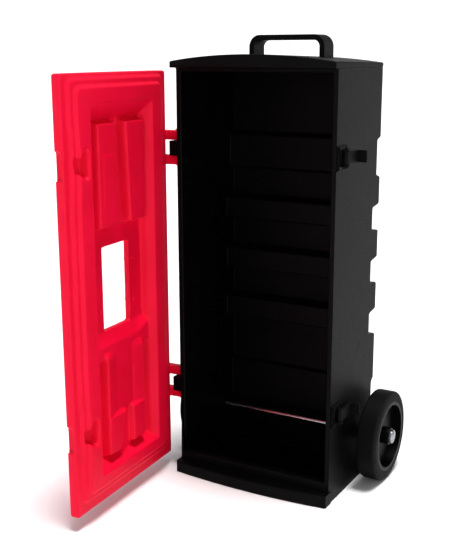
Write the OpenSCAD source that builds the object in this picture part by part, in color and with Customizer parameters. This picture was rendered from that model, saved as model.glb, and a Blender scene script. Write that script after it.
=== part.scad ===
// Wheeled upright cabinet for one portable fire extinguisher.
// +X is to the right of someone facing the door side, -Y is the front, +Z is up, the floor is z = 0.

/* [Cabinet] */
// outside width across the side walls
body_w = 368; // [330:1:442]
// depth from the front corners of the roof to the rear ribs
body_d = 260; // [235:1:310]
// height of the side walls, up to the roof lip
wall_h = 905; // [860:1:1086]
// wall thickness of the moulding
wall_t = 6; // [4:0.5:8]
// thickness of the floor
floor_t = 8; // [5:0.5:14]
// depth of the frame around the door opening
frame_t = 20; // [14:1:26]
// clearance all round between the door's first step and the opening, which the door swings into
frame_play = 6.5; // [6:0.25:8]
// height of the plinth lip
plinth_h = 27; // [20:1:34]
// overhang of the plinth on each side
plinth_over = 2; // [0:0.5:4]
// how far the middle of the front bows forward of its corners
bow = 12; // [6:0.5:20]
// depth of the seat that the door closes into
door_seat = 20; // [16:1:26]

/* [Roof] */
// overhang of the roof lip on each side
roof_over = 4; // [2:0.5:7]
// rise of the roof crown above the roof's front corners
crown_rise = 13.5; // [6:0.5:24]
// thickness of the roof lip at its front corners
lip_t = 13.5; // [10:0.5:18]
// fall of the roof from front to back
roof_fall = 5; // [0:0.5:10]
// length over which the roof's overhang runs out at its rear corners
roof_run = 24; // [6:1:60]

/* [Rear wall] */
// how far the low part of the rear wall stands in from the ribs
low_inset = 9; // [4:0.5:16]
// height of the low part of the rear wall
low_h = 210; // [190:1:240]
// depth of the grooves between the ribs
groove_d = 34; // [16:1:36]
// height of a groove
groove_h = 57; // [40:1:70]
// spacing of the grooves
groove_pitch = 118.5; // [100:0.5:122]
// height of the lowest groove above the floor
groove_z = 318; // [290:1:330]
// number of deep grooves
groove_n = 3; // [1:1:3]
// depth of the shallow groove near the top
notch_d = 18; // [8:1:24]
// height of the shallow groove
notch_h = 84; // [50:1:90]
// draft of each groove end
groove_draft = 5; // [2:0.5:9]

/* [Door] */
// clearance between the door and the roof lip
door_top_gap = 6; // [3:0.5:10]
// clearance between the door and the plinth lip
door_low_gap = 3; // [2:0.5:6]
// skin thickness of the hollow door
skin_t = 4; // [3:0.5:5]
// height of each step of the raised panel
step_h = 6; // [4:0.5:8]
// margin of the first step at the sides
step1_side = 18; // [16:0.5:22]
// margin of the first step at the top
step1_top = 9; // [8:0.5:14]
// margin of the first step at the bottom
step1_low = 24; // [22:0.5:30]
// extra margin of the second step
step2_more = 15; // [10:0.5:18]
// corner radius of the steps
step_r = 14; // [8:0.5:18]
// half width of the long recess in the door
recess_hw = 104; // [98:0.5:112]
// depth of the long recess below the door's seat plane
recess_d = 16; // [12:0.5:16]
// distance of the recess top from the door's top
recess_top = 58; // [50:1:70]
// distance of the recess bottom from the door's bottom
recess_low = 68; // [58:1:80]
// height of the slope at the recess top
recess_slope = 35; // [15:1:45]
// inner edge of each pad from the middle
pad_in = 15; // [10:0.5:22]
// outer edge of each pad from the middle
pad_out = 80; // [70:0.5:88]
// length of the upper pads
pad_up_l = 205; // [180:1:210]
// rise of the upper pads above the seat plane
pad_up_rise = 7; // [2:0.5:9]
// length of the lower pads
pad_low_l = 208; // [180:1:212]
// height of the lower pads' foot above the door's bottom
pad_low_z = 92; // [88:1:96]
// rise of the lower pads above the seat plane
pad_low_rise = 4; // [1:0.5:7]
// height of the wide block between window and pads, measured down from the window
block_drop = 176; // [150:1:190]
// sinking of that block below the seat plane
block_sink = 3; // [1:0.5:6]
// height of the sloped window sill
sill_slope = 26; // [16:1:32]

/* [Window] */
// width of the window opening
win_w = 96; // [80:1:104]
// height of the window opening
win_h = 175; // [150:1:210]
// height of the window's lower edge above the door's bottom
win_z = 351; // [345:1:358]
// corner radius of the window
win_r = 6; // [3:0.5:10]
// overlap of the pane around the opening
pane_lap = 17; // [14:0.5:19]
// thickness of the pane
pane_t = 3; // [2:0.25:4]
// play around the pane in its seat
pane_play = 0.5; // [0.3:0.1:1]
// depth of the pane's seat behind the middle of the bowed face
pane_seat = 4.5; // [4:0.25:6]
// radius of the pane screw heads
pane_head_r = 4; // [3:0.25:5]
// height of the pane screw heads
pane_head_t = 2; // [1.5:0.25:3]
// radius of the pane screw shanks
pane_shank_r = 2; // [1.5:0.25:2.5]
// length of the pane screw shanks
pane_shank_l = 9; // [7:0.5:10]

/* [Hinge] */
// opening angle of the door as it stands
door_rest = 87; // [60:1:120]
// distance of the hinge pin outside the side wall
pin_out = 11; // [10.5:0.5:14]
// distance of the hinge pin behind the door's seat plane
pin_back = 25; // [20:1:32]
// radius of the hinge pin
pin_r = 4; // [3:0.25:5]
// clearance of the pin in the door's arms
pin_play = 0.08; // [0.03:0.01:0.1]
// height of each hinge arm
arm_h = 20; // [16:1:24]
// half width of each hinge arm
arm_hw = 9.5; // [8:0.25:10]
// height of the hinge lug
lug_h = 31; // [24:1:40]
// clearance between lug and arm
lug_play = 1; // [0.5:0.1:2]
// height of the upper hinge
hinge_up_z = 736; // [700:1:760]
// height of the lower hinge
hinge_low_z = 203; // [180:1:230]
// thickness of the pin's head
pin_head_t = 3; // [2:0.5:5]
// radius of the pin's head
pin_head_r = 7; // [6:0.5:8]
// thickness of the pin's retainer
clip_t = 1.5; // [1:0.25:2.5]

/* [Latches] */
// height of the upper latch
latch_up_z = 732; // [700:1:760]
// height of the lower latch
latch_low_z = 195; // [170:1:225]
// depth of the door edge notch for a latch
edge_notch = 8; // [5:0.5:10]
// height of that notch at its floor
edge_notch_h = 44; // [36:1:54]
// depth of the latch pockets in the door
pocket_d = 20; // [12:1:20]
// radius of the latch pin
latch_pin_r = 2.5; // [2:0.25:3]
// clearance of the latch on its pin
latch_play = 0.08; // [0.03:0.01:0.1]
// distance of the latch pin from the side wall
latch_out = 9; // [8:0.5:12]
// distance of the latch pin behind the door's seat plane
latch_back = 28; // [24:1:34]
// height of the latch
latch_h = 24; // [18:1:30]
// thickness of the latch strap
strap_t = 6; // [4:0.5:7]
// clearance between the latch's nose and the door's face
nose_play = 1.2; // [0.5:0.1:3]
// reach of the latch's nose over the door
nose_reach = 14; // [8:1:20]
// thickness of the anchor plate
plate_t = 3; // [2:0.5:4]
// thickness of each anchor ear
ear_t = 5; // [3:0.5:7]

/* [Handle] */
// outside width of the handle
handle_w = 177; // [150:1:200]
// depth of the handle strap
handle_d = 48; // [40:1:60]
// thickness of the handle strap
handle_t = 11; // [9:0.5:14]
// height of the handle's top above the roof lip's lower edge
handle_top = 67; // [56:1:80]
// position of the handle behind the middle of the cabinet
handle_y = 60; // [30:1:70]
// outside corner radius of the handle
handle_r = 25; // [14:1:30]
// height of the handle's seat above the roof lip's lower edge
seat_z = 11; // [9:0.5:13]
// play of the handle in its seat
seat_play = 0.3; // [0.2:0.1:0.6]
// radius of the handle bolts
bolt_r = 3; // [2.5:0.25:4]
// spacing of the two bolts in each leg
bolt_gap = 26; // [20:1:30]
// height of the bolt heads
bolt_head_t = 4; // [3:0.5:6]
// radius across the corners of the bolt heads
bolt_head_r = 5.8; // [5:0.1:7]
// thickness of the washers
washer_t = 1.5; // [1:0.25:2.5]
// radius of the washers
washer_r = 7.5; // [6.5:0.25:9]

/* [Wheels] */
// wheel radius
wheel_r = 100; // [80:1:125]
// width of the tyre
tyre_w = 46; // [30:1:50]
// width of the flat crown of the tyre
crown_w = 32; // [14:1:34]
// radius of the rim under the tyre
rim_r = 76; // [56:1:78]
// distance of the wheel's middle plane outside the side wall
wheel_out = 42; // [40:1:52]
// distance of the axle behind the middle of the cabinet
axle_y = 79; // [66:1:84]
// radius of the axle
axle_r = 6; // [5:0.5:8]
// clearance of the wheel's bore on the axle
wheel_play = 0.08; // [0.03:0.01:0.1]
// radius of the wheel hub
hub_r = 19; // [15:0.5:24]
// hub length outboard of the wheel's middle plane
hub_out = 23.2; // [21:0.2:26]
// thickness of the wheel's web
web_t = 8; // [5:0.5:12]
// thickness of the rim's barrel
barrel_t = 6; // [4:0.5:8]
// radius of the axle cap
cap_r = 15; // [12:0.5:17]
// thickness of the axle cap
cap_t = 6; // [5:0.5:9]
// wall of the axle bush
bush_wall = 4; // [3:0.5:6]
// thickness of the bush's flange
bush_flange = 5; // [3:0.5:6]
// thickness of the washer beside the hub
hub_washer = 2; // [1.5:0.25:3]
// end play of each wheel
end_play = 0.5; // [0.3:0.1:1]

/* [Hidden] */
$fn = 64;
e = 0.01;
front_y = -body_d / 2;
rear_y = body_d / 2;
seat_y = front_y + door_seat;
wall_x = body_w / 2;
inner_x = wall_x - wall_t;
roof_w = body_w + 2 * roof_over;
plinth_w = body_w + 2 * plinth_over;
roof_front_top = wall_h + lip_t + crown_rise;
crown_r = (roof_w * roof_w / 4 + crown_rise * crown_rise) / (2 * crown_rise);
roof_tilt = atan(roof_fall / (body_d + bow));
low_y = rear_y - low_inset;
groove_y = rear_y - groove_d;
notch_y = rear_y - notch_d;
notch_z = groove_z + groove_n * groove_pitch;

door_z = plinth_h + door_low_gap;
door_top = wall_h - door_top_gap;
door_hw = wall_x;
plateau_y = seat_y + 2 * step_h;
step1_y = seat_y + step_h;
recess_y = seat_y - recess_d;
step1_hw = door_hw - step1_side;
step2_hw = step1_hw - step2_more;
step1_z = door_z + step1_low;
step1_t = door_top - step1_top;
open_hw = step1_hw + frame_play;
open_low = step1_z - frame_play;
open_top = step1_t + frame_play;
step2_z = step1_z + step2_more;
step2_t = step1_t - step2_more;
rec_z = door_z + recess_low;
rec_t = door_top - recess_top;
pad_top_z = rec_t - recess_slope;
win_low = door_z + win_z;
win_top = win_low + win_h;
win_hw = win_w / 2;
pane_hw = win_hw + pane_lap;
pane_low = win_low - pane_lap;
pane_top = win_top + pane_lap;
pane_y = front_y - bow + pane_seat;
screw_x = win_hw + pane_lap / 2;
screw_dz = win_h / 4;
win_mid = (win_low + win_top) / 2;
pane_screws_at = [
    [screw_x, win_mid - screw_dz], [screw_x, win_mid + screw_dz],
    [-screw_x, win_mid - screw_dz], [-screw_x, win_mid + screw_dz],
    [0, win_low - pane_lap / 2], [0, win_top + pane_lap / 2]
];
boss_r = pane_shank_r + skin_t;
vent_r = 2;

pin_x = -wall_x - pin_out;
pin_y = seat_y + pin_back;
hinges = [hinge_low_z, hinge_up_z];
fork_h = lug_h / 2 + lug_play;
lug_front_r = 6;
lug_out = wall_x + 2 * pin_out;
pin_top = fork_h + arm_h + 0.5;
pin_end = fork_h + arm_h + 4;

latches = [latch_low_z, latch_up_z];
latch_x = wall_x + latch_out;
latch_y = seat_y + latch_back;
ear_gap = 0.5;
latch_barrel_r = latch_out - plate_t - ear_gap;
ear_z = latch_h / 2 + ear_gap;
ear_r = 7.5;
plate_y0 = latch_y - 24;
plate_y1 = latch_y + 24;
plate_hz = ear_z + ear_t + 7;
plate_screw_dy = 18;
plate_screw_dz = plate_hz - 6;
plate_screw_r = 2;
plate_head_r = 3.6;
plate_head_t = 2.2;
plate_screw_l = 8;
hole_play = 0.15;
strap_in = plate_t + 1;
nose_y = front_y - bow * (1 - pow((wall_x - nose_reach) / wall_x, 2)) - nose_play;
nose_t = 8;
heart = [
    [61, 28], [65, 22], [65, -24], [60, -29], [29, -13], [26, 7], [31, 14], [38, 11], [45, 14], [53, 25]
];

leg_x = handle_w / 2 - handle_t / 2;
handle_z = wall_h + handle_top;
handle_foot = wall_h + seat_z;
boss_low = wall_h + 1;
boss_side = 12;
bolt_reach = 20;

axle_end = wall_x + wheel_out + hub_out + end_play + cap_t - 2;
hub_face = wall_x + wheel_out + hub_out;
hub_back = wall_x + bush_flange + hub_washer + end_play;
wheel_x = wall_x + wheel_out;
cap_face = hub_face + end_play;
bush_r = axle_r + bush_wall;
bush_boss = 6;
bush_in = inner_x - bush_boss;

black = [0.05, 0.05, 0.055];
red = [0.85, 0.04, 0.12];
steel = [0.72, 0.73, 0.75];

// ---------- helpers ----------

// 2D plan with a front that bows forward by the bow between its corners
module bowed_plan(w, y_front, y_back, b) {
    r = (w * w / 4 + b * b) / (2 * b);
    intersection() {
        translate([-w / 2, y_front - b])
            square([w, y_back - y_front + b]);
        translate([0, y_front - b + r])
            circle(r = r, $fn = 360);
    }
}

// plan of the roof, whose overhang runs out towards its rear corners
module roof_plan() {
    intersection() {
        bowed_plan(roof_w, front_y, rear_y, bow);
        polygon([
            [-roof_w / 2, front_y - 2 * bow], [roof_w / 2, front_y - 2 * bow],
            [roof_w / 2, rear_y - roof_run], [wall_x + roof_over * 0.75, rear_y - roof_run * 0.4],
            [wall_x + e, rear_y], [-wall_x - e, rear_y],
            [-wall_x - roof_over * 0.75, rear_y - roof_run * 0.4], [-roof_w / 2, rear_y - roof_run]
        ]);
    }
}

// solid whose (y, z) outline runs along X between two values
module along_x(x0, x1, pts) {
    translate([x0, 0, 0])
        rotate([90, 0, 90])
            linear_extrude(x1 - x0)
                polygon(pts);
}

// 2D rectangle with round corners
module rrect(x0, x1, z0, z1, r) {
    translate([x0 + r, z0])
        square([x1 - x0 - 2 * r, z1 - z0]);
    translate([x0, z0 + r])
        square([x1 - x0, z1 - z0 - 2 * r]);
    for (x = [x0 + r, x1 - r])
        for (z = [z0 + r, z1 - r])
            translate([x, z])
                circle(r = r);
}

// rounded rectangle in X and Z, solid between two values of Y
module slab(x0, x1, z0, z1, r, y0, y1) {
    translate([0, y1, 0])
        rotate([90, 0, 0])
            linear_extrude(y1 - y0)
                rrect(x0, x1, z0, z1, r);
}

module box(x0, x1, y0, y1, z0, z1) {
    translate([x0, y0, z0])
        cube([x1 - x0, y1 - y0, z1 - z0]);
}

// the barrel of the roof, lowered by an offset
module crown(off) {
    translate([0, front_y - bow, roof_front_top])
        rotate([-roof_tilt, 0, 0])
            translate([0, -bow, -crown_r])
                rotate([-90, 0, 0])
                    cylinder(r = crown_r - off, h = body_d + 4 * bow, $fn = 360);
}

function rear_line(dy, z_top) = concat(
    [[low_y - dy, low_h - groove_draft], [rear_y - dy, low_h]],
    [for (i = [0 : groove_n - 1]) for (k = [0 : 3]) [
        (k == 0 || k == 3 ? rear_y : groove_y) - dy,
        groove_z + i * groove_pitch + [0, groove_draft, groove_h - groove_draft, groove_h][k]
    ]],
    [[rear_y - dy, notch_z], [notch_y - dy, notch_z + groove_draft],
     [notch_y - dy, notch_z + notch_h - groove_draft], [rear_y - dy, notch_z + notch_h],
     [rear_y - dy, z_top]]
);

// ---------- cabinet ----------

module hinge_lug_plan() {
    translate([pin_x, pin_y])
        circle(r = pin_out);
    translate([-lug_out, seat_y + lug_front_r])
        square([lug_out - wall_x + e, pin_back - lug_front_r]);
    translate([-lug_out + lug_front_r, seat_y])
        square([lug_out - wall_x - lug_front_r + e, pin_back]);
    translate([-lug_out + lug_front_r, seat_y + lug_front_r])
        circle(r = lug_front_r);
    translate([pin_x, pin_y])
        square([pin_out + e, pin_out]);
}

module handle_boss(side) {
    box(
        side * leg_x - handle_t / 2 - boss_side, side * leg_x + handle_t / 2 + boss_side,
        handle_y - handle_d / 2 - boss_side, handle_y + handle_d / 2,
        boss_low, handle_foot + 2
    );
}

module cabinet_outer() {
    along_x(-wall_x, wall_x, concat(
        [[seat_y, 0], [low_y, 0]], rear_line(0, wall_h + lip_t / 2), [[seat_y, wall_h + lip_t / 2]]
    ));
    linear_extrude(plinth_h)
        bowed_plan(plinth_w, front_y, seat_y + frame_t / 2, bow);
    intersection() {
        translate([0, 0, wall_h])
            linear_extrude(lip_t + 2 * crown_rise)
                roof_plan();
        crown(0);
    }
    for (z = hinges)
        translate([0, 0, z - lug_h / 2])
            linear_extrude(lug_h)
                hinge_lug_plan();
}

module cabinet_cavity() {
    intersection() {
        along_x(-inner_x, inner_x, concat(
            [[seat_y + frame_t, floor_t], [low_y - wall_t, floor_t]],
            rear_line(wall_t, wall_h + 2 * lip_t + crown_rise),
            [[seat_y + frame_t, wall_h + 2 * lip_t + crown_rise]]
        ));
        crown(wall_t);
    }
}

module cabinet_body() {
    color(black)
        difference() {
            union() {
                difference() {
                    cabinet_outer();
                    cabinet_cavity();
                }
                for (side = [-1, 1])
                    handle_boss(side);
                for (side = [-1, 1])
                    translate([side > 0 ? bush_in : -inner_x - e, axle_y, wheel_r])
                        rotate([0, 90, 0])
                            cylinder(r = bush_r + wall_t, h = bush_boss + e);
            }
            box(-open_hw, open_hw, seat_y - e, seat_y + frame_t + e, open_low, open_top);
            for (side = [-1, 1])
                box(
                    side * leg_x - handle_t / 2 - seat_play, side * leg_x + handle_t / 2 + seat_play,
                    handle_y - handle_d / 2 - seat_play, handle_y + handle_d / 2 + seat_play,
                    handle_foot, handle_z
                );
            for (side = [-1, 1])
                for (k = [-1, 1])
                    translate([side * leg_x, handle_y + k * bolt_gap / 2, boss_low - e])
                        cylinder(r = bolt_r + hole_play, h = handle_foot - boss_low + 2 * e);
            for (z = hinges)
                translate([pin_x, pin_y, z - lug_h])
                    cylinder(r = pin_r, h = 2 * lug_h);
            translate([-wall_x - e, axle_y, wheel_r])
                rotate([0, 90, 0])
                    cylinder(r = bush_r, h = body_w + 2 * e);
            for (z = latches)
                for (dy = [-plate_screw_dy, plate_screw_dy])
                    for (dz = [-plate_screw_dz, plate_screw_dz])
                        translate([inner_x - e, latch_y + dy, z + dz])
                            rotate([0, 90, 0])
                                cylinder(r = plate_screw_r + hole_play, h = wall_t + 2 * e, $fn = 24);
        }
}

module carry_handle() {
    inner_r = handle_r - handle_t;
    color(black)
        difference() {
            slab(
                -handle_w / 2, handle_w / 2, handle_foot - 2 * handle_r, handle_z, handle_r,
                handle_y - handle_d / 2, handle_y + handle_d / 2
            );
            slab(
                -handle_w / 2 + handle_t, handle_w / 2 - handle_t, handle_foot - 4 * handle_r, handle_z - handle_t,
                inner_r, handle_y - handle_d, handle_y + handle_d
            );
            box(
                -handle_w, handle_w, handle_y - handle_d, handle_y + handle_d,
                handle_foot - 5 * handle_r, handle_foot
            );
            for (side = [-1, 1])
                for (k = [-1, 1])
                    translate([side * leg_x, handle_y + k * bolt_gap / 2, handle_foot - e])
                        cylinder(r = bolt_r, h = bolt_reach + 1);
        }
}

module handle_bolts() {
    color(steel)
        for (side = [-1, 1])
            for (k = [-1, 1])
                translate([side * leg_x, handle_y + k * bolt_gap / 2, boss_low - washer_t]) {
                    translate([0, 0, -bolt_head_t])
                        cylinder(r = bolt_head_r, h = bolt_head_t, $fn = 6);
                    cylinder(r = bolt_r, h = handle_foot - boss_low + washer_t + bolt_reach);
                }
}

module handle_washers() {
    color(steel)
        for (side = [-1, 1])
            for (k = [-1, 1])
                translate([side * leg_x, handle_y + k * bolt_gap / 2, boss_low - washer_t])
                    difference() {
                        cylinder(r = washer_r, h = washer_t);
                        translate([0, 0, -e])
                            cylinder(r = bolt_r + hole_play, h = washer_t + 2 * e);
                    }
}

// ---------- axle and wheels ----------

module on_axle(x) {
    translate([x, axle_y, wheel_r])
        rotate([0, 90, 0])
            children();
}

module axle() {
    color(steel)
        on_axle(-axle_end)
            cylinder(r = axle_r, h = 2 * axle_end);
}

module axle_bush(side) {
    color(black)
        mirror([side > 0 ? 0 : 1, 0, 0])
            difference() {
                union() {
                    on_axle(bush_in)
                        cylinder(r = bush_r, h = wall_x - bush_in + e);
                    on_axle(wall_x)
                        cylinder(r = bush_r + bush_wall, h = bush_flange);
                }
                on_axle(bush_in - e)
                    cylinder(r = axle_r, h = wall_x - bush_in + bush_flange + 2 * e);
            }
}

module axle_bush_left() {
    axle_bush(-1);
}

module axle_bush_right() {
    axle_bush(1);
}

module hub_washers() {
    color(steel)
        for (side = [0, 1])
            mirror([side, 0, 0])
                difference() {
                    on_axle(wall_x + bush_flange)
                        cylinder(r = bush_r + bush_wall, h = hub_washer);
                    on_axle(wall_x + bush_flange - e)
                        cylinder(r = axle_r + hole_play, h = hub_washer + 2 * e);
                }
}

module axle_cap(side) {
    edge = 1.5;
    color(steel)
        mirror([side > 0 ? 0 : 1, 0, 0])
            difference() {
                union() {
                    on_axle(cap_face)
                        cylinder(r = cap_r, h = cap_t - edge);
                    on_axle(cap_face + cap_t - edge - e)
                        cylinder(r1 = cap_r, r2 = cap_r - edge, h = edge + e);
                }
                on_axle(cap_face - e)
                    cylinder(r = axle_r, h = axle_end - cap_face + e);
            }
}

module axle_cap_left() {
    axle_cap(-1);
}

module axle_cap_right() {
    axle_cap(1);
}

module wheel_rim(side) {
    flange_t = 3;
    lip = 2.5;
    color(black)
        mirror([side > 0 ? 0 : 1, 0, 0])
            difference() {
                union() {
                    on_axle(hub_back)
                        cylinder(r = hub_r, h = hub_face - hub_back);
                    on_axle(wheel_x - web_t / 2)
                        cylinder(r = rim_r - barrel_t / 2, h = web_t);
                    difference() {
                        on_axle(wheel_x - tyre_w / 2 + flange_t)
                            cylinder(r = rim_r, h = tyre_w - 2 * flange_t, $fn = 128);
                        on_axle(wheel_x - tyre_w)
                            cylinder(r = rim_r - barrel_t, h = 2 * tyre_w, $fn = 128);
                    }
                    for (k = [-1, 1])
                        difference() {
                            on_axle(wheel_x + k * (tyre_w / 2 - flange_t / 2) - flange_t / 2)
                                cylinder(r = rim_r + lip, h = flange_t, $fn = 128);
                            on_axle(wheel_x - tyre_w)
                                cylinder(r = rim_r - barrel_t, h = 2 * tyre_w, $fn = 128);
                        }
                }
                on_axle(hub_back - e)
                    cylinder(r = axle_r + wheel_play, h = hub_face - hub_back + 2 * e);
            }
}

module tyre(side) {
    half = tyre_w / 2 - 3;
    side_half = tyre_w / 2;
    chw = crown_w / 2;
    lip_r = rim_r + 2.5;
    mid_r = wheel_r - 5;
    low_r = wheel_r - 13;
    color(black)
        mirror([side > 0 ? 0 : 1, 0, 0])
            on_axle(wheel_x)
                rotate_extrude($fn = 128)
                    polygon([
                        [rim_r, -half], [lip_r, -half], [lip_r, -side_half], [low_r, -side_half],
                        [mid_r, -side_half + 2.6], [wheel_r - 1.2, -chw - 3], [wheel_r, -chw],
                        [wheel_r, chw], [wheel_r - 1.2, chw + 3], [mid_r, side_half - 2.6],
                        [low_r, side_half], [lip_r, side_half], [lip_r, half], [rim_r, half]
                    ]);
}

module wheel_rim_left() {
    wheel_rim(-1);
}

module wheel_rim_right() {
    wheel_rim(1);
}

module tyre_left() {
    tyre(-1);
}

module tyre_right() {
    tyre(1);
}

// ---------- hinges ----------

module hinge_pin(z) {
    color(steel)
        translate([pin_x, pin_y, z]) {
            translate([0, 0, -pin_end])
                cylinder(r = pin_r, h = pin_end + pin_top + e, $fn = 48);
            translate([0, 0, pin_top])
                cylinder(r = pin_head_r, h = pin_head_t, $fn = 48);
        }
}

module hinge_pin_upper() {
    hinge_pin(hinge_up_z);
}

module hinge_pin_lower() {
    hinge_pin(hinge_low_z);
}

module pin_retainers() {
    color(steel)
        for (z = hinges)
            translate([pin_x, pin_y, z - fork_h - arm_h - 0.5 - clip_t])
                difference() {
                    cylinder(r = pin_head_r, h = clip_t, $fn = 48);
                    translate([0, 0, -e])
                        cylinder(r = pin_r, h = clip_t + 2 * e, $fn = 48);
                }
}

// ---------- door, drawn closed and then swung open about its hinge ----------

module swung() {
    translate([pin_x, pin_y, 0])
        rotate([0, 0, -door_rest])
            translate([-pin_x, -pin_y, 0])
                children();
}

module arm_plan() {
    translate([pin_x, pin_y])
        circle(r = arm_hw);
    translate([pin_x - arm_hw, front_y])
        square([2 * arm_hw, door_seat + pin_back]);
    translate([pin_x - arm_hw, front_y])
        square([arm_hw + pin_out + 2 * skin_t, door_seat]);
}

module door_recess() {
    along_x(-recess_hw, recess_hw, [
        [plateau_y + e, rec_t], [recess_y, pad_top_z], [recess_y, rec_z], [plateau_y + e, rec_z]
    ]);
}

// the raised shapes that stand in the recess
module door_pads(grow) {
    for (side = [-1, 1]) {
        x0 = side > 0 ? pad_in : -pad_out;
        x1 = side > 0 ? pad_out : -pad_in;
        box(x0 - grow, x1 + grow, recess_y + (grow < 0 ? -2 * skin_t : -e), seat_y + pad_up_rise + grow,
            pad_top_z - pad_up_l - grow, pad_top_z + grow);
        box(x0 - grow, x1 + grow, recess_y + (grow < 0 ? -2 * skin_t : -e), seat_y + pad_low_rise + grow,
            door_z + pad_low_z - grow, door_z + pad_low_z + pad_low_l + grow);
    }
}

module door_block(grow) {
    sy = seat_y - block_sink;
    along_x(-recess_hw - e - grow, recess_hw + e + grow, [
        [recess_y - e, win_low + grow], [sy + grow, win_low - sill_slope + grow],
        [sy + grow, win_low - block_drop - grow], [recess_y - e, win_low - block_drop - grow]
    ]);
}

module door_outer() {
    translate([0, 0, door_z])
        linear_extrude(door_top - door_z)
            bowed_plan(2 * door_hw, front_y, seat_y, bow);
    slab(-step1_hw, step1_hw, step1_z, step1_t, step_r, seat_y - e, step1_y);
    slab(-step2_hw, step2_hw, step2_z, step2_t, step_r, seat_y - e, plateau_y);
    for (z = hinges)
        for (k = [-1, 1])
            translate([0, 0, z + k * (fork_h + arm_h / 2) - arm_h / 2])
                linear_extrude(arm_h)
                    arm_plan();
}

module latch_pocket(z, grow) {
    translate([0, plateau_y + e, z])
        rotate([90, 0, 0])
            linear_extrude(pocket_d + grow)
                polygon([for (q = heart) [door_hw - q[0] + (q[0] < 40 ? grow : -grow), q[1] * (1 + grow / 28)]]);
}

module edge_notch_cut(z, grow) {
    h = edge_notch_h / 2 + grow;
    d = edge_notch + grow;
    translate([0, 0, z])
        translate([0, seat_y - 7 + grow, 0])
            rotate([90, 0, 0])
                linear_extrude(door_seat + bow)
                    polygon([
                        [door_hw + d, h + 2 * d - 2 * grow], [door_hw - d, h],
                        [door_hw - d, -h], [door_hw + d, -h - 2 * d + 2 * grow]
                    ]);
}

// the space inside the hollow door
module door_hollow() {
    difference() {
        union() {
            translate([0, 0, door_z + skin_t])
                linear_extrude(door_top - door_z - 2 * skin_t)
                    bowed_plan(2 * (door_hw - skin_t), front_y + skin_t, recess_y - skin_t, bow);
            difference() {
                union() {
                    translate([0, 0, door_z + skin_t])
                        linear_extrude(door_top - door_z - 2 * skin_t)
                            bowed_plan(2 * (door_hw - skin_t), front_y + skin_t, seat_y - skin_t, bow);
                    slab(
                        -step2_hw + skin_t, step2_hw - skin_t, step2_z + skin_t, step2_t - skin_t,
                        step_r - skin_t, seat_y - skin_t - e, plateau_y - skin_t
                    );
                }
                box(
                    -recess_hw - skin_t, recess_hw + skin_t, front_y - bow, plateau_y,
                    rec_z - skin_t, rec_t + skin_t
                );
            }
            door_pads(-skin_t);
        }
        box(
            -pane_hw - skin_t, pane_hw + skin_t, front_y - 2 * bow, plateau_y,
            pane_low - skin_t, pane_top + skin_t
        );
        for (z = latches) {
            latch_pocket(z, skin_t);
            edge_notch_cut(z, skin_t);
        }
    }
}

module door_solid() {
    difference() {
        union() {
            difference() {
                door_outer();
                door_recess();
            }
            intersection() {
                union() {
                    door_pads(0);
                    door_block(0);
                }
                box(-recess_hw - 1, recess_hw + 1, recess_y - 1, plateau_y, rec_z - 1, rec_t);
            }
        }
        door_hollow();
        slab(-win_hw, win_hw, win_low, win_top, win_r, front_y - 2 * bow, plateau_y + 1);
        box(
            -pane_hw - pane_play, pane_hw + pane_play, front_y - 2 * bow, pane_y,
            pane_low - pane_play, pane_top + pane_play
        );
        for (q = pane_screws_at)
            translate([q[0], pane_y + pane_shank_l, q[1]])
                rotate([90, 0, 0])
                    cylinder(r = pane_shank_r, h = pane_shank_l + 1, $fn = 24);
        for (z = latches) {
            latch_pocket(z, 0);
            edge_notch_cut(z, 0);
        }
        for (z = hinges)
            translate([pin_x, pin_y, z - fork_h - 2 * arm_h])
                cylinder(r = pin_r + pin_play, h = 2 * (fork_h + 2 * arm_h), $fn = 48);
        translate([0, front_y - bow / 2, door_z - e])
            cylinder(r = vent_r, h = skin_t + 2 * e, $fn = 24);
    }
}

module door_panel() {
    color(red)
        swung()
            door_solid();
}

module window_pane() {
    color([0.8, 0.85, 0.9, 0.35])
        swung()
            difference() {
                slab(-pane_hw, pane_hw, pane_low, pane_top, win_r, pane_y - pane_t, pane_y);
                for (q = pane_screws_at)
                    translate([q[0], pane_y + 1, q[1]])
                        rotate([90, 0, 0])
                            cylinder(r = pane_shank_r + hole_play, h = pane_t + 2, $fn = 24);
            }
}

module pane_screws() {
    color(steel)
        swung()
            for (q = pane_screws_at) {
                translate([q[0], pane_y + pane_shank_l - 0.5, q[1]])
                    rotate([90, 0, 0])
                        cylinder(r = pane_shank_r, h = pane_shank_l + pane_t - 0.5 + e, $fn = 24);
                translate([q[0], pane_y - pane_t, q[1]])
                    rotate([90, 0, 0])
                        cylinder(r = pane_head_r, h = pane_head_t, $fn = 24);
            }
}

// ---------- latches ----------

module latch_anchor(z) {
    color(black)
        difference() {
            union() {
                box(wall_x, wall_x + plate_t, plate_y0, plate_y1, z - plate_hz, z + plate_hz);
                for (k = [-1, 1])
                    translate([0, 0, z + k * (ear_z + ear_t / 2) - ear_t / 2])
                        linear_extrude(ear_t) {
                            translate([latch_x, latch_y])
                                circle(r = ear_r, $fn = 48);
                            translate([wall_x + e, latch_y - ear_r])
                                square([latch_out - e, 2 * ear_r]);
                        }
            }
            translate([latch_x, latch_y, z - 2 * latch_h])
                cylinder(r = latch_pin_r, h = 4 * latch_h, $fn = 48);
            for (dy = [-plate_screw_dy, plate_screw_dy])
                for (dz = [-plate_screw_dz, plate_screw_dz])
                    translate([wall_x - 1, latch_y + dy, z + dz])
                        rotate([0, 90, 0])
                            cylinder(r = plate_screw_r + hole_play, h = plate_t + 2, $fn = 24);
        }
}

module latch_anchor_upper() {
    latch_anchor(latch_up_z);
}

module latch_anchor_lower() {
    latch_anchor(latch_low_z);
}

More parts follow.
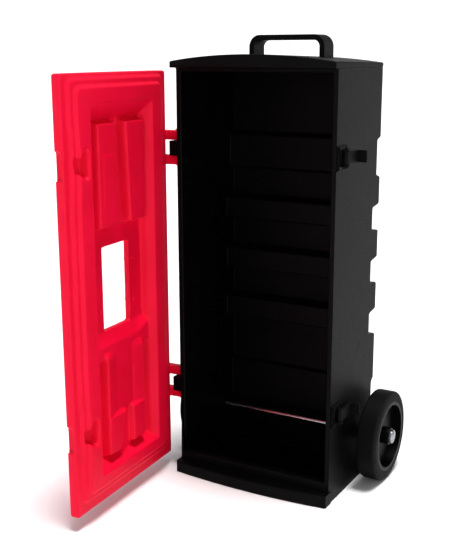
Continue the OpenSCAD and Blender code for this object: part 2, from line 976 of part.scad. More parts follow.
module anchor_screws() {
    color(steel)
        for (z = latches)
            for (dy = [-plate_screw_dy, plate_screw_dy])
                for (dz = [-plate_screw_dz, plate_screw_dz])
                    translate([wall_x + plate_t, latch_y + dy, z + dz])
                        rotate([0, 90, 0]) {
                            cylinder(r = plate_head_r, h = plate_head_t, $fn = 24);
                            translate([0, 0, -plate_screw_l])
                                cylinder(r = plate_screw_r, h = plate_screw_l + e, $fn = 24);
                        }
}

module latch_pins() {
    color(steel)
        for (z = latches)
            translate([latch_x, latch_y, z - ear_z - ear_t])
                cylinder(r = latch_pin_r, h = 2 * (ear_z + ear_t), $fn = 48);
}

// drawn hooked over the door, then folded back along the wall by half a turn
module latch(z) {
    color(black)
        translate([latch_x, latch_y, z])
            rotate([0, 0, 180])
                translate([-latch_x, -latch_y, -latch_h / 2])
                    linear_extrude(latch_h)
                        difference() {
                            union() {
                                translate([latch_x, latch_y])
                                    circle(r = latch_barrel_r, $fn = 48);
                                translate([wall_x + strap_in, nose_y - nose_t])
                                    square([strap_t, latch_y - nose_y + nose_t]);
                                translate([wall_x - nose_reach, nose_y - nose_t])
                                    square([nose_reach + strap_in + strap_t, nose_t]);
                            }
                            translate([latch_x, latch_y])
                                circle(r = latch_pin_r + latch_play, $fn = 48);
                        }
}

module latch_upper() {
    latch(latch_up_z);
}

module latch_lower() {
    latch(latch_low_z);
}

cabinet_body();
carry_handle();
handle_bolts();
handle_washers();
axle();
axle_bush_left();
axle_bush_right();
hub_washers();
axle_cap_left();
axle_cap_right();
hinge_pin_upper();
hinge_pin_lower();
pin_retainers();
latch_anchor_upper();
latch_anchor_lower();
anchor_screws();
latch_pins();
door_panel();
window_pane();
pane_screws();
latch_upper();
latch_lower();
wheel_rim_left();
tyre_left();
wheel_rim_right();
tyre_right();
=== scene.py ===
import math

import bmesh
import bpy
import numpy as np
from mathutils import Matrix, Vector


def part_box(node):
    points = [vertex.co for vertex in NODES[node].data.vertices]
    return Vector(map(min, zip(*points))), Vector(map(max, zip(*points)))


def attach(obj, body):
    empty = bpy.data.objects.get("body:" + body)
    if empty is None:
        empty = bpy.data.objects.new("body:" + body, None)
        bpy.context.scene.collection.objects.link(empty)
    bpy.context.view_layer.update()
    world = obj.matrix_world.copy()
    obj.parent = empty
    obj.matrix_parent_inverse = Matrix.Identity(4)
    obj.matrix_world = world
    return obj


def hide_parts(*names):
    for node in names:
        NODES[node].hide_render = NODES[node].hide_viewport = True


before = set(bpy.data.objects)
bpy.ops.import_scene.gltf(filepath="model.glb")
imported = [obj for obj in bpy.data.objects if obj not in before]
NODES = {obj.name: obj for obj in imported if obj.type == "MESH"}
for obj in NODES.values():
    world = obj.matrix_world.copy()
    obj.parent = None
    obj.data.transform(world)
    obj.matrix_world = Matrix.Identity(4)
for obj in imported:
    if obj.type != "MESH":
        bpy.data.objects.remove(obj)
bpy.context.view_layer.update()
MM = 0.001

# ------------------------------------------------------------------ sizes
# millimetres, in the same frame as the CAD part
DOOR_REST = 87.0
PIN = (-195.0, -85.0)
SEAT_Y = -110.0
SEAT_GAP = 0.4
FRONT_Y = -130.0
BOW = 12.0
DOOR_HW = 184.0
DOOR_Z0, DOOR_Z1 = 30.0, 899.0
HINGES = (203.0, 736.0)
LATCHES = (195.0, 732.0)
WIN = (-48.0, 48.0, 381.0, 556.0)
PANE_Y = FRONT_Y - BOW + 4.5
CAP_SLOT_W = 8.0
CAP_SLOT_D = 11.0
CAP_STEPS = 64
ARM_R = 9.5             # radius of a hinge arm about its pin
ARM_X = -178.0          # where an arm meets the door
ARM_HALF = 10.0         # half of an arm's height
ARM_OFF = 26.5          # height of an arm above or below the middle of its hinge


# ------------------------------------------------------------------ node helpers
class Tree:
    """A material's node tree, written as a few short calls."""

    def __init__(self, name):
        self.m = bpy.data.materials.new(name)
        self.m.use_nodes = True
        self.t = self.m.node_tree
        self.t.nodes.clear()
        self.out = self.t.nodes.new("ShaderNodeOutputMaterial")
        self.bsdf = self.t.nodes.new("ShaderNodeBsdfPrincipled")
        self.t.links.new(self.bsdf.outputs[0], self.out.inputs[0])
        self.coord = self.t.nodes.new("ShaderNodeTexCoord")

    def arithmetic(self, operation):
        n = self.t.nodes.new("ShaderNodeMath")
        n.operation = operation
        return n

    def stretch(self, scale):
        """Object coordinates stretched by a scale on each axis."""
        n = self.t.nodes.new("ShaderNodeMapping")
        self.plug(n.inputs["Vector"], self.coord.outputs["Object"])
        n.inputs["Scale"].default_value = scale
        return n.outputs[0]

    def plug(self, socket, v):
        if isinstance(v, bpy.types.NodeSocket):
            self.t.links.new(v, socket)
        else:
            socket.default_value = v

    def noise(self, scale, detail=3.0, rough=0.5, vector=None):
        n = self.t.nodes.new("ShaderNodeTexNoise")
        self.plug(n.inputs["Vector"], vector or self.coord.outputs["Object"])
        n.inputs["Scale"].default_value = scale
        n.inputs["Detail"].default_value = detail
        n.inputs["Roughness"].default_value = rough
        return n.outputs["Fac"]

    def ramp(self, fac, stops):
        n = self.t.nodes.new("ShaderNodeValToRGB")
        self.plug(n.inputs[0], fac)
        el = n.color_ramp.elements
        el[0].position, el[0].color = stops[0][0], stops[0][1]
        el[1].position, el[1].color = stops[-1][0], stops[-1][1]
        for p, c in stops[1:-1]:
            e = el.new(p)
            e.color = c
        return n.outputs["Color"]

    def span(self, fac, lo, hi, a=0.0, b=1.0):
        n = self.t.nodes.new("ShaderNodeMapRange")
        self.plug(n.inputs["Value"], fac)
        n.inputs["From Min"].default_value = a
        n.inputs["From Max"].default_value = b
        n.inputs["To Min"].default_value = lo
        n.inputs["To Max"].default_value = hi
        return n.outputs["Result"]

    def bump(self, height, strength, distance, normal=None):
        n = self.t.nodes.new("ShaderNodeBump")
        self.plug(n.inputs["Height"], height)
        n.inputs["Strength"].default_value = strength
        n.inputs["Distance"].default_value = distance
        if normal is not None:
            self.plug(n.inputs["Normal"], normal)
        return n.outputs["Normal"]

    def set(self, **kw):
        for k, v in kw.items():
            self.plug(self.bsdf.inputs[k.replace("_", " ")], v)
        return self


def rgba(r, g, b, a=1.0):
    return (r, g, b, a)


def plastic(name, base, dark, light, rough, grain, bump, specular=0.5, scuff=0.25):
    """Moulded plastic: soft mottling, fine spark-eroded grain and faint scuffs."""
    t = Tree(name)
    broad = t.noise(9.0, 3.0, 0.55)
    fine = t.noise(260.0, 2.0, 0.5)
    colour = t.ramp(broad, [(0.3, dark), (0.5, base), (0.72, light)])
    grainy = t.noise(grain, 2.0, 0.6)
    scratches = t.noise(240.0, 4.0, 0.7, t.stretch((1.0, 1.0, 0.06)))
    marks = t.span(scratches, 0.0, scuff, 0.60, 0.78)
    r = t.span(fine, rough - 0.05, rough + 0.06, 0.3, 0.7)
    total = t.arithmetic("ADD")
    t.plug(total.inputs[0], r)
    scaled = t.arithmetic("MULTIPLY")
    t.plug(scaled.inputs[0], marks)
    scaled.inputs[1].default_value = 0.35
    t.plug(total.inputs[1], scaled.outputs[0])
    wave = t.noise(14.0, 2.0, 0.4)
    n1 = t.bump(wave, 0.25, 0.0012)
    n2 = t.bump(grainy, bump, 0.00025, n1)
    t.set(Base_Color=colour, Roughness=total.outputs[0], Normal=n2)
    t.bsdf.inputs["Specular IOR Level"].default_value = specular
    return t.m


def metal(name, base, rough, streak_axis=0, scratch=0.1):
    """Drawn or plated steel, with fine lines along one axis and blotches of tone."""
    t = Tree(name)
    scale = [1.0, 1.0, 1.0]
    scale[streak_axis] = 0.05
    lines = t.noise(900.0, 3.0, 0.6, t.stretch(scale))
    blot = t.noise(60.0, 3.0, 0.5)
    c = t.ramp(blot, [(0.3, rgba(*[v * 0.8 for v in base])), (0.7, rgba(*base))])
    r = t.span(lines, rough - scratch, rough + scratch, 0.3, 0.7)
    t.set(Base_Color=c, Roughness=r, Normal=t.bump(lines, 0.15, 0.0001), Metallic=1.0)
    return t.m


def grey(value, blue=0.0004):
    return rgba(value, value, value + blue)


BLACK = plastic("black_polyethylene", base=grey(0.0022), dark=grey(0.0014), light=grey(0.0034),
                rough=0.46, grain=900.0, bump=0.35, specular=0.10)
RED = plastic("red_polyethylene", base=rgba(0.84, 0.0025, 0.044), dark=rgba(0.80, 0.002, 0.038),
              light=rgba(0.88, 0.004, 0.052), rough=0.52, grain=800.0, bump=0.22, specular=0.22, scuff=0.2)
RUBBER = plastic("tyre_rubber", base=grey(0.0034, 0.0008), dark=grey(0.0024, 0.0006),
                 light=grey(0.0060, 0.0010), rough=0.62, grain=700.0, bump=0.5, specular=0.12, scuff=0.3)
STRAP = plastic("latch_rubber", base=grey(0.0034, 0.0006), dark=grey(0.0024, 0.0006),
                light=grey(0.0060, 0.0006), rough=0.55, grain=900.0, bump=0.4, specular=0.12)
RIMMAT = plastic("rim_plastic", base=grey(0.0022), dark=grey(0.0014), light=grey(0.0040, 0.0006),
                 rough=0.42, grain=900.0, bump=0.3, specular=0.14)
STEEL = metal("bright_steel", (0.50, 0.51, 0.53), 0.26)
ZINC = metal("zinc_steel", (0.58, 0.59, 0.60), 0.38, 2)
CAPSTEEL = metal("cap_steel", (0.40, 0.41, 0.43), 0.42, 2)
DARKSTEEL = metal("black_steel", (0.012, 0.012, 0.013), 0.45, 2)


def pane_material():
    """Clear acrylic with a slight haze."""
    t = Tree("clear_acrylic")
    haze = t.noise(45.0, 4.0, 0.6)
    r = t.span(haze, 0.01, 0.07, 0.45, 0.75)
    t.set(Base_Color=rgba(0.97, 0.985, 0.98), Roughness=r)
    t.bsdf.inputs["Transmission Weight"].default_value = 1.0
    t.bsdf.inputs["IOR"].default_value = 1.15
    t.bsdf.inputs["Alpha"].default_value = 0.25
    return t.m


PANE = pane_material()


# ------------------------------------------------------------------ mesh helpers
SHARP = 32.0            # degrees above which an edge stays sharp
FLAT = 0.06             # degrees below which two faces count as one flat area
MERGE = 0.03            # millimetres within which points are one
DISSOLVE = 0.4          # degrees below which faces are joined


def even_normals(me):
    """Each corner takes the normal of the flat areas it blends into, the largest counting most."""
    bm = bmesh.new()
    bm.from_mesh(me)
    bm.faces.ensure_lookup_table()
    bm.normal_update()
    group = [-1] * len(bm.faces)
    normals, areas = [], []
    for first in bm.faces:
        if group[first.index] >= 0:
            continue
        g = len(areas)
        total, area_sum, todo = Vector(), 0.0, [first]
        group[first.index] = g
        while todo:
            f = todo.pop()
            a = f.calc_area()
            total += f.normal * a
            area_sum += a
            for e in f.edges:
                if len(e.link_faces) == 2 and math.degrees(e.calc_face_angle(0.0)) < FLAT:
                    for other in e.link_faces:
                        if group[other.index] < 0:
                            group[other.index] = g
                            todo.append(other)
        normals.append(total.normalized() if total.length else Vector((0, 0, 1)))
        areas.append(area_sum)
    limit = math.cos(math.radians(SHARP))
    corners = [Vector((0, 0, 1))] * len(me.loops)
    for f in bm.faces:
        own = normals[group[f.index]]
        for loop in f.loops:
            near = {group[x.index] for x in loop.vert.link_faces}
            total = Vector()
            for g in sorted(near):
                if normals[g].dot(own) > limit:
                    total += normals[g] * areas[g]
            corners[loop.index] = total.normalized() if total.length else own
    bm.free()
    me.normals_split_custom_set(corners)


def settle(ob, angle=SHARP):
    """Turns an object's modifiers into its mesh, shades it smooth and keeps real edges sharp."""
    dg = bpy.context.evaluated_depsgraph_get()
    me = bpy.data.meshes.new_from_object(ob.evaluated_get(dg))
    ob.modifiers.clear()
    old = ob.data
    ob.data = me
    bpy.data.meshes.remove(old)
    me.shade_smooth()
    me.set_sharp_from_angle(angle=math.radians(angle))


def new_object(name, me, material, body, replaces=()):
    """A visible piece on a body, which may stand in for CAD nodes."""
    ob = bpy.data.objects.new(name, me)
    bpy.context.collection.objects.link(ob)
    me.materials.clear()
    me.materials.append(material)
    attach(ob, body)
    if replaces:
        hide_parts(*replaces)
    return ob


def softened(name, node, material, body, width=1.5, segments=3, angle=30.0, shortest=0.0):
    """A copy of a CAD node with its arrises rounded, which stands in for it.

    Arrises that end at an edge shorter than shortest mm stay as they are.
    """
    bm = bmesh.new()
    bm.from_mesh(NODES[node].data)
    bmesh.ops.remove_doubles(bm, verts=bm.verts, dist=MERGE * MM)
    bmesh.ops.dissolve_limit(bm, angle_limit=math.radians(DISSOLVE), verts=bm.verts, edges=bm.edges)
    bmesh.ops.triangulate(bm, faces=[f for f in bm.faces if len(f.verts) > 4])
    weight = bm.edges.layers.float.new("bevel_weight_edge")
    crowded = {v for e in bm.edges if e.calc_length() < shortest * MM for v in e.verts}
    for e in bm.edges:
        if e.calc_face_angle(0.0) > math.radians(angle) and not crowded.intersection(e.verts):
            e[weight] = 1.0
    me = bpy.data.meshes.new(name)
    bm.to_mesh(me)
    bm.free()
    me.shade_smooth()
    me.set_sharp_from_angle(angle=math.radians(SHARP))
    ob = new_object(name, me, material, body, (node,))
    b = ob.modifiers.new("round", "BEVEL")
    b.width = width * MM
    b.segments = segments
    b.limit_method = "WEIGHT"
    b.use_clamp_overlap = shortest == 0.0
    b.miter_outer = "MITER_ARC"
    settle(ob)
    even_normals(ob.data)


def round_off(ob, width, segments, angle=30.0):
    """Rounds every edge of an object that is sharper than an angle."""
    b = ob.modifiers.new("round", "BEVEL")
    b.width = width * MM
    b.segments = segments
    b.limit_method = "ANGLE"
    b.angle_limit = math.radians(angle)
    settle(ob)


def notched_cap(name, node, body):
    """The axle's cap as a disc with a slot that is open at its top."""
    low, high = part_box(node)
    mid_y, mid_z = (low[1] + high[1]) / 2, (low[2] + high[2]) / 2
    rad = (high[2] - low[2]) / 2
    start = math.asin(CAP_SLOT_W / 2 * MM / rad)
    outline = []
    for k in range(CAP_STEPS + 1):
        a = start + (2 * math.pi - 2 * start) * k / CAP_STEPS
        outline.append((mid_y + rad * math.sin(a), mid_z + rad * math.cos(a)))
    floor_z = mid_z + rad - CAP_SLOT_D * MM
    half = CAP_SLOT_W / 2 * MM
    outline.append((mid_y - half, floor_z))
    outline.append((mid_y + half, floor_z))
    bm = bmesh.new()
    face = bm.faces.new([bm.verts.new((low[0], y, z)) for y, z in outline])
    top = bmesh.ops.extrude_face_region(bm, geom=[face])
    for v in top["geom"]:
        if isinstance(v, bmesh.types.BMVert):
            v.co.x = high[0]
    bmesh.ops.recalc_face_normals(bm, faces=bm.faces)
    me = bpy.data.meshes.new(name)
    bm.to_mesh(me)
    bm.free()
    round_off(new_object(name, me, CAPSTEEL, body, (node,)), 1.0, 3)


def swing(me):
    """Turns a mesh drawn with the door closed to where the door stands."""
    p = Vector((PIN[0] * MM, PIN[1] * MM, 0))
    turn = Matrix.Rotation(math.radians(-DOOR_REST), 4, "Z")
    me.transform(Matrix.Translation(p) @ turn @ Matrix.Translation(-p))
    return me


# ------------------------------------------------------------------ door relief
def ramp01(v, w):
    """0 up to v = 0, 1 from v = w, and straight between."""
    return np.clip(v / w, 0.0, 1.0)


def rrect_depth(x, z, x0, x1, z0, z1, r):
    """How far inside a rounded rectangle each point lies (negative outside)."""
    cx, cz = (x0 + x1) / 2, (z0 + z1) / 2
    hx, hz = (x1 - x0) / 2 - r, (z1 - z0) / 2 - r
    qx, qz = np.abs(x - cx) - hx, np.abs(z - cz) - hz
    out = np.hypot(np.maximum(qx, 0), np.maximum(qz, 0)) + np.minimum(np.maximum(qx, qz), 0)
    return r - out


def poly_depth(x, z, pts):
    """Signed distance inside a polygon."""
    d = np.full(x.shape, 1e9)
    inside = np.zeros(x.shape, bool)
    n = len(pts)
    for i in range(n):
        ax, az = pts[i]
        bx, bz = pts[(i + 1) % n]
        ex, ez = bx - ax, bz - az
        t = np.clip(((x - ax) * ex + (z - az) * ez) / (ex * ex + ez * ez), 0, 1)
        d = np.minimum(d, np.hypot(x - ax - t * ex, z - az - t * ez))
        crosses = (az > z) != (bz > z)
        slope = (bx - ax) * (z - az) / (bz - az + 1e-12) + ax
        inside ^= crosses & (x < slope)
    return np.where(inside, d, -d)


# the latch pocket's outline, as distance from the door's free edge and height about the latch
HEART = [(61, 28), (65, 22), (65, -24), (60, -29), (29, -13),
         (26, 7), (31, 14), (38, 11), (45, 14), (53, 25)]
POCKET = -8.0           # floor of the latch pocket
RECESS = -16.0          # floor of the recess, above the seat plane
RECESS_DEEP = 28.0
STEP_RISE = 6.0
STEP_RUN = 3.5
STEP_R = 17.0
# half width, foot, head, and how much of the jog beside the latches each step follows
STEPS = ((167.5, 52.5, 891.5, 1.0), (152.5, 67.5, 876.5, 0.6))
JOG = 4.0
JOG_HALF = 52.0
JOG_SOFT = 26.0
PAD_Z = (601.0, 802.0)
PAD_RISE = 7.0
LOW_PAD_Z = (122.0, 201.0)
LOW_PAD_RISE = 5.5
CHANNEL_RISE = -7.0
SILL_RISE = -3.0
CRADLE_RISE = 7.5
DIMPLE_X = 59.0
DIMPLE_Z = (424.7, 512.2)


def bump_at(z, z0, half, soft):
    """1 near z0, falling smoothly to 0."""
    t = ramp01(half + soft - np.abs(z - z0), soft)
    return t * t * (3 - 2 * t)


def mesa(x, z, x0, x1, z0, z1, rise, sides, low, top):
    """A flat-topped block in the recess with its own slope on each side."""
    a = ramp01(x - x0 + sides[0], sides[0])
    b = ramp01(x1 + sides[1] - x, sides[1])
    c = ramp01(z - z0 + low, low)
    d = ramp01(z1 + top - z, top)
    return RECESS + (rise - RECESS) * np.minimum(np.minimum(a, b), np.minimum(c, d))


def relief(x, z):
    """Height of the door's inner face above its seat plane, in mm."""
    jog = JOG * sum(bump_at(z, z0, JOG_HALF, JOG_SOFT) for z0 in LATCHES) * (x > 0)
    h = 0.0
    for half, foot, head, share in STEPS:
        edge = rrect_depth(x + share * jog, z, -half, half, foot, head, STEP_R)
        h = h + STEP_RISE * ramp01(edge, STEP_RUN)
    side = np.interp(x, [-112, -98, -95.5, 100, 107], [0, 15 / 28, 1, 1, 0])
    top = ramp01(842.0 - z, 36.0)
    low = ramp01(z - 95.0, 20.0)
    h = h - RECESS_DEEP * np.minimum(np.minimum(side, top), low)
    # the upper pads, whose inner edges lean over towards the hinge on the way down
    lean = ramp01(805.0 - z, 205.0)
    inner = {1: 20.0 - 15.0 * lean, -1: -16.0 - 11.0 * lean}
    h = np.maximum(h, mesa(x, z, inner[1], 80.0, *PAD_Z, PAD_RISE, (4, 5), 6.0, 7.0))
    h = np.maximum(h, mesa(x, z, -82.0, inner[-1], *PAD_Z, PAD_RISE, (5, 4), 6.0, 7.0))
    # the block under the window with its sloped sill
    rise = 12.0 * ramp01(-60.0 - x, 30.0)
    h = np.maximum(h, mesa(x, z, -102, 102, 330, 355 + rise, SILL_RISE, (5, 5), 8.0, 26.0 - 0.8 * rise))
    # the cradle below it, higher at its outer edges than in the middle
    cradle = SILL_RISE + CRADLE_RISE * ramp01(np.abs(x) - 28.0, 38.0)
    end = ramp01(346.0 - z, 18.0)
    span = np.minimum(ramp01(73.0 - np.abs(x), 6.0), ramp01(z - 196.0, 6.0))
    bed = RECESS + (SILL_RISE - RECESS) * span * (z < 340)
    horns = np.maximum(cradle - SILL_RISE, 0.0) * np.minimum(span, end)
    h = np.maximum(h, bed + horns)
    # the lower pads and the shallow channel between them
    drop = ramp01(200.0 - z, 78.0)
    h = np.maximum(h, mesa(x, z, -26.0, 28.0, 104, 200, CHANNEL_RISE, (3, 3), 8.0, 8.0))
    h = np.maximum(h, mesa(x, z, 4.0 + 21.0 * drop, 68.0, *LOW_PAD_Z, LOW_PAD_RISE, (4, 5), 5.0, 8.0))
    h = np.maximum(h, mesa(x, z, -66.0, -21.0, *LOW_PAD_Z, LOW_PAD_RISE, (5, 4), 5.0, 8.0))
    groove = ramp01(2.4 - np.abs(x + 32), 2.0) * ramp01(z - 212, 8) * ramp01(296 - z, 8)
    h = h - 1.6 * groove
    streak = poly_depth(x, z, [(-40, 292), (-34, 293), (-8, 284), (-10, 279)])
    h = h + 1.5 * ramp01(streak, 2.0)
    plate = rrect_depth(x, z, 25, 66, 640, 742, 3)
    h = h + 0.9 * ramp01(plate, 1.2)
    for z0 in LATCHES:
        pts = [(DOOR_HW - a, z0 + b) for a, b in HEART]
        k = ramp01(poly_depth(x, z, pts) + 1.0, 4.0)
        h = h * (1 - k) + np.minimum(h, POCKET) * k
    marks = [(0, 858, 4, 1.8)] + [(s * DIMPLE_X, zc, 5.5, 3.0) for s in (-1, 1) for zc in DIMPLE_Z]
    for cx, cz, r, dep in marks:
        h = h - dep * ramp01(r - np.hypot(x - cx, z - cz), r * 0.7)
    return h


def blur(a, sigma):
    """Gaussian blur of a grid, sigma in cells."""
    n = int(3 * sigma) + 1
    k = np.exp(-0.5 * (np.arange(-n, n + 1) / sigma) ** 2)
    k /= k.sum()
    p = np.pad(a, n, mode="edge")
    p = np.apply_along_axis(lambda v: np.convolve(v, k, mode="valid"), 0, p)
    return np.apply_along_axis(lambda v: np.convolve(v, k, mode="valid"), 1, p)


def grid_lines(pos, need, lo, hi, fine, coarse, fixed):
    """Lines from lo to hi, close where the surface bends, and exactly at the fixed places."""
    out = []
    stops = sorted(set([lo, hi] + [v for v in fixed if lo < v < hi]))
    for a, b in zip(stops[:-1], stops[1:]):
        out.append(a)
        v = a
        while True:
            want = np.interp(v + fine, pos, need)
            step = fine + (coarse - fine) * (1.0 - want)
            v += step
            if v > b - fine * 0.6:
                break
            out.append(v)
    out.append(hi)
    return np.array(out)


def roll(d, r):
    """Drop of a rounded edge at a distance d in from it."""
    q = np.clip(r - d, 0.0, r)
    return r - np.sqrt(np.maximum(r * r - q * q, 0.0))


def bow_y(x):
    """The bowed front: y at each x."""
    r = (DOOR_HW * DOOR_HW + BOW * BOW) / (2 * BOW)
    return FRONT_Y - BOW + r - np.sqrt(r * r - x * x)


EDGE_R = 3.5
CORNER_R = 6.0
WIN_R = 6.0
LAP = 17.5


def door_outer_y(x, z):
    """Outer face: the bow, a soft bead round it, the pane's seat and the latch notches."""
    y = bow_y(x)
    bead = rrect_depth(x, z, -150, 150, 64, 865, 26)
    y = y + 1.8 * (ramp01(bead, 5.0) - ramp01(bead - 9.0, 5.0))
    seat = rrect_depth(x, z, WIN[0] - LAP, WIN[1] + LAP, WIN[2] - LAP, WIN[3] + LAP, 6.5)
    k = ramp01(seat + 0.3, 0.3)
    y = y * (1 - k) + PANE_Y * k
    for z0 in LATCHES:
        cut = np.minimum(x - (DOOR_HW - 8.0), 22.0 + (x - (DOOR_HW - 8.0)) - np.abs(z - z0))
        k = ramp01(cut, 0.8)
        y = y * (1 - k) + np.maximum(y, -117.0) * k
    return y


def door_mesh():
    """The door as one closed skin: an inner and an outer height field, joined round every edge."""
    fine, coarse = ((1.7, 8.0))
    gx = np.arange(-DOOR_HW, DOOR_HW + 1)
    gz = np.arange(DOOR_Z0, DOOR_Z1 + 1)
    G = blur(relief(*np.meshgrid(gx, gz, indexing="ij")), 1.5)

    def demand(a):
        bend = np.abs(a[2:] - 2 * a[1:-1] + a[:-2]).max(axis=1)
        bend = np.concatenate([[0], bend, [0]])
        wide = np.max([np.roll(bend, k) for k in range(-3, 4)], axis=0)
        return np.clip(wide / 0.12, 0, 1)

    rim = [0.25, 0.8, 1.6, 2.5, EDGE_R]
    fx = [s * (DOOR_HW - v) for s in (-1, 1) for v in rim]
    fx += [s * v for s in (-1, 1) for v in (48, 48.5, 49.3, 50.5, 65.2, 65.5)]
    fx += [DOOR_HW - 8.0, DOOR_HW - 7.2]
    fz = [DOOR_Z0 + v for v in rim] + [DOOR_Z1 - v for v in rim]
    fz += [WIN[2], WIN[3], WIN[2] - LAP, WIN[3] + LAP]
    fz += [WIN[2] - 0.6, WIN[2] - 1.5, WIN[3] + 0.6, WIN[3] + 1.5, WIN[2] - LAP + 0.3, WIN[3] + LAP - 0.3]
    for z0 in LATCHES:
        fz += [z0 + s * v for s in (-1, 1) for v in (22, 26, 30)]
    xs = grid_lines(gx, demand(G), -DOOR_HW, DOOR_HW, fine, coarse, fx)
    zs = grid_lines(gz, demand(G.T), DOOR_Z0, DOOR_Z1, fine, coarse, fz)
    X, Z = np.meshgrid(xs, zs, indexing="ij")

    # cells that are solid, inside the outline and outside the window
    cx, cz = (X[:-1, :-1] + X[1:, 1:]) / 2, (Z[:-1, :-1] + Z[1:, 1:]) / 2
    outline = (-DOOR_HW, DOOR_HW, DOOR_Z0, DOOR_Z1, CORNER_R)
    solid = (rrect_depth(cx, cz, *outline) > 0) & (rrect_depth(cx, cz, *WIN, WIN_R) < 0)

    def neighbours(mask):
        n = np.zeros((mask.shape[0] + 1, mask.shape[1] + 1), int)
        for i in (0, 1):
            for j in (0, 1):
                n[i:i + mask.shape[0], j:j + mask.shape[1]] += mask
        return n

    count = neighbours(solid)
    edge = (count > 0) & ((count < 4))
    # border points slide on to the true round corners
    for shape in (outline, (*WIN, WIN_R)):
        d = rrect_depth(X, Z, *shape)
        gxd = rrect_depth(X + 0.01, Z, *shape) - d
        gzd = rrect_depth(X, Z + 0.01, *shape) - d
        n = np.hypot(gxd, gzd) + 1e-12
        near = edge & (np.abs(d) < 5.0)
        X = np.where(near, X - d * gxd / n, X)
        Z = np.where(near, Z - d * gzd / n, Z)

    ix = np.clip(X - gx[0], 0, len(gx) - 1.001)
    iz = np.clip(Z - gz[0], 0, len(gz) - 1.001)
    i0, j0 = ix.astype(int), iz.astype(int)
    u, v = ix - i0, iz - j0
    H = (G[i0, j0] * (1 - u) * (1 - v) + G[i0 + 1, j0] * u * (1 - v)
         + G[i0, j0 + 1] * (1 - u) * v + G[i0 + 1, j0 + 1] * u * v)
    rim_drop = roll(rrect_depth(X, Z, *outline), EDGE_R)
    hole = -rrect_depth(X, Z, *WIN, WIN_R)
    inner = SEAT_Y - SEAT_GAP + H - rim_drop - roll(hole, 1.6)
    outer = door_outer_y(X, Z) + rim_drop

    used = count > 0
    index = np.full(X.shape, -1)
    index[used] = np.arange(used.sum())
    n = int(used.sum())
    sheets = [np.stack([X[used], y[used], Z[used]], -1) for y in (inner, outer)]
    verts = np.concatenate(sheets) * MM
    a, b = index[:-1, :-1][solid], index[1:, :-1][solid]
    c, d = index[1:, 1:][solid], index[:-1, 1:][solid]
    faces = [np.stack([a, d, c, b], -1), np.stack([a, b, c, d], -1) + n]
    pad = np.pad(solid, 1)
    along_z = pad[1:, 1:-1].astype(int) - pad[:-1, 1:-1]
    along_x = pad[1:-1, 1:].astype(int) - pad[1:-1, :-1]
    runs = ((1, along_z, index[:, :-1], index[:, 1:]), (-1, along_x, index[:-1, :], index[1:, :]))
    for sign, grid, p, q in runs:
        for kind in (1, -1):
            m = grid == kind
            f = np.stack([p[m], q[m], q[m] + n, p[m] + n], -1)
            faces.append(f if kind * sign > 0 else f[:, ::-1])
    me = bpy.data.meshes.new("door_skin")
    me.from_pydata(verts.tolist(), [], np.concatenate(faces).tolist())
    bm = bmesh.new()
    bm.from_mesh(me)
    bmesh.ops.recalc_face_normals(bm, faces=bm.faces)
    bm.to_mesh(me)
    bm.free()
    me.shade_smooth()
    me.set_sharp_from_angle(angle=math.radians(50))
    return me


new_object("door_moulding", swing(door_mesh()), RED, "door", ("door_panel",))


def arm_meshes():
    """Two arms to each hinge, each a flat bar with a round eye about the pin."""
    bm = bmesh.new()
    for z in HINGES:
        for k in (-1, 1):
            zc = z + k * ARM_OFF
            pts = []
            for i in range(25):
                a = math.radians(180 * i / 24)
                pts.append((PIN[0] + ARM_R * math.cos(a), PIN[1] + ARM_R * math.sin(a)))
            pts += [(PIN[0] - ARM_R, FRONT_Y), (ARM_X, FRONT_Y - 0.5)]
            pts += [(ARM_X, SEAT_Y - SEAT_GAP), (PIN[0] + ARM_R, SEAT_Y - SEAT_GAP)]
            lo = [bm.verts.new((x * MM, y * MM, (zc - ARM_HALF) * MM)) for x, y in pts]
            hi = [bm.verts.new((x * MM, y * MM, (zc + ARM_HALF) * MM)) for x, y in pts]
            bm.faces.new(list(reversed(lo)))
            bm.faces.new(hi)
            for i in range(len(pts)):
                j = (i + 1) % len(pts)
                bm.faces.new((lo[i], lo[j], hi[j], hi[i]))
    bmesh.ops.recalc_face_normals(bm, faces=bm.faces)
    me = bpy.data.meshes.new("arms")
    bm.to_mesh(me)
    bm.free()
    return me


arms = new_object("hinge_arms", arm_meshes(), RED, "door")
round_off(arms, 2.5, 4, 40.0)
swing(arms.data)

# ------------------------------------------------------------------ cabinet and the rest
softened("cabinet_moulding", "cabinet_body", BLACK, "cabinet", 3.5, 4, shortest=5.5)
softened("strap_handle", "carry_handle", BLACK, "cabinet", 2.0, 3)
for side in ("left", "right"):
    softened(f"rim_{side}", f"wheel_rim_{side}", RIMMAT, f"wheel_{side}", 0.8, 2)
    softened(f"rubber_tyre_{side}", f"tyre_{side}", RUBBER, f"wheel_{side}", 1.0, 2)
    notched_cap(f"hub_cap_{side}", f"axle_cap_{side}", "cabinet")
    softened(f"bush_{side}", f"axle_bush_{side}", BLACK, "cabinet", 0.4, 2)
for k in ("upper", "lower"):
    softened(f"hook_latch_{k}", f"latch_{k}", STRAP, f"latch_{k}", 1.2, 3)
    softened(f"latch_bracket_{k}", f"latch_anchor_{k}", BLACK, "cabinet", 0.8, 2)
    softened(f"door_pin_{k}", f"hinge_pin_{k}", ZINC, "cabinet", 0.5, 2)

AS_IN_CAD = {
    "axle": STEEL, "handle_bolts": ZINC, "handle_washers": ZINC, "hub_washers": ZINC, "pin_retainers": ZINC,
    "anchor_screws": DARKSTEEL, "latch_pins": DARKSTEEL, "window_pane": PANE, "pane_screws": ZINC,
}
for node, mat in AS_IN_CAD.items():
    o = NODES[node]
    o.data.materials.clear()
    o.data.materials.append(mat)

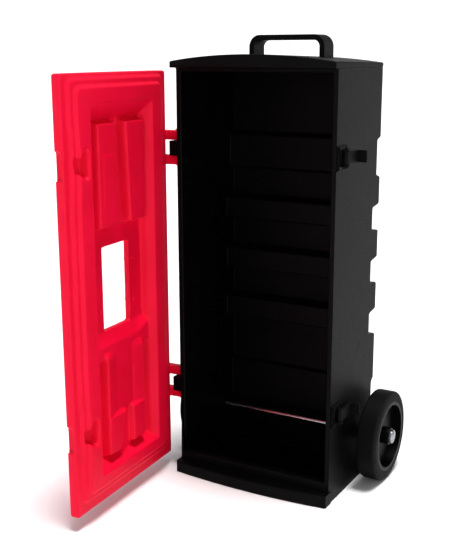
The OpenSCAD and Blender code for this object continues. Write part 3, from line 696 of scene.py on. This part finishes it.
# ------------------------------------------------------------------ floor, light, camera
FLOOR_HALF = 30.0
SUN_POWER = 2.6
SUN_ANGLE = 16.0
SUN_FROM = (0.14, -0.02, 1.0)
SOFT_SIZE = 1.4
SOFT_POWER = 5.0
SOFT_AT = (0.6, -3.4, 1.6)
SOFT_TO = (0.0, 0.0, 0.5)
HEADING = 29.84
PITCH = 13.19
ROLL = -0.15
CAMERA_AT = (0.90636, -1.78403, 0.93272)
IMAGE_H = 550.0
FOCAL = 931.8           # focal length, with the image IMAGE_H high
SHIFT = (-1.68, -2.87)
SENSOR = 36.0

WHITE = Tree("studio_floor")
WHITE.set(Base_Color=rgba(0.95, 0.95, 0.955), Roughness=0.7)
WHITE.bsdf.inputs["Specular IOR Level"].default_value = 0.2
bm = bmesh.new()
bmesh.ops.create_grid(bm, x_segments=8, y_segments=8, size=FLOOR_HALF)
me = bpy.data.meshes.new("floor")
bm.to_mesh(me)
bm.free()
floor = bpy.data.objects.new("studio_floor", me)
bpy.context.collection.objects.link(floor)
me.materials.append(WHITE.m)

world = bpy.data.worlds.new("studio")
bpy.context.scene.world = world
world.use_nodes = True
wt = world.node_tree
bg = wt.nodes["Background"]
way = wt.nodes.new("ShaderNodeTexCoord")
parts = wt.nodes.new("ShaderNodeSeparateXYZ")
sky = wt.nodes.new("ShaderNodeValToRGB")
wt.links.new(way.outputs["Generated"], parts.inputs[0])
wt.links.new(parts.outputs["Z"], sky.inputs[0])
wt.links.new(sky.outputs["Color"], bg.inputs[0])
el = sky.color_ramp.elements
el[0].position, el[0].color = 0.20, (1.0, 1.0, 1.0, 1.0)
el[1].position, el[1].color = 0.42, (0.30, 0.30, 0.31, 1.0)
bg.inputs[1].default_value = 1.0


sun_data = bpy.data.lights.new("overhead", "SUN")
sun_data.energy = SUN_POWER
sun_data.angle = math.radians(SUN_ANGLE)
sun = bpy.data.objects.new("overhead", sun_data)
bpy.context.collection.objects.link(sun)
sun.rotation_euler = Vector(SUN_FROM).to_track_quat("Z", "Y").to_euler()
soft_data = bpy.data.lights.new("front", "AREA")
soft_data.shape = "RECTANGLE"
soft_data.size = SOFT_SIZE
soft_data.size_y = SOFT_SIZE
soft_data.energy = SOFT_POWER
soft = bpy.data.objects.new("front", soft_data)
bpy.context.collection.objects.link(soft)
soft.location = SOFT_AT
soft.rotation_euler = (Vector(SOFT_TO) - Vector(SOFT_AT)).to_track_quat("-Z", "Y").to_euler()

cam_data = bpy.data.cameras.new("camera")
cam = bpy.data.objects.new("camera", cam_data)
bpy.context.collection.objects.link(cam)
head, pitch, roll = (math.radians(v) for v in (HEADING, PITCH, ROLL))
back = Vector((math.sin(head) * math.cos(pitch), -math.cos(head) * math.cos(pitch), math.sin(pitch)))
right = Vector((math.cos(head), math.sin(head), 0))
up = back.cross(right)
r2 = right * math.cos(roll) + up * math.sin(roll)
u2 = up * math.cos(roll) - right * math.sin(roll)
rot = Matrix((r2, u2, back)).transposed().to_4x4()
cam.matrix_world = Matrix.Translation(CAMERA_AT) @ rot
cam_data.sensor_width = SENSOR
cam_data.lens = FOCAL / IMAGE_H * SENSOR
cam_data.shift_x = SHIFT[0] / IMAGE_H
cam_data.shift_y = SHIFT[1] / IMAGE_H
cam_data.clip_start = 0.05
bpy.context.scene.camera = cam
bpy.context.scene.view_settings.view_transform = "Standard"
bpy.context.scene.view_settings.look = "Medium High Contrast"
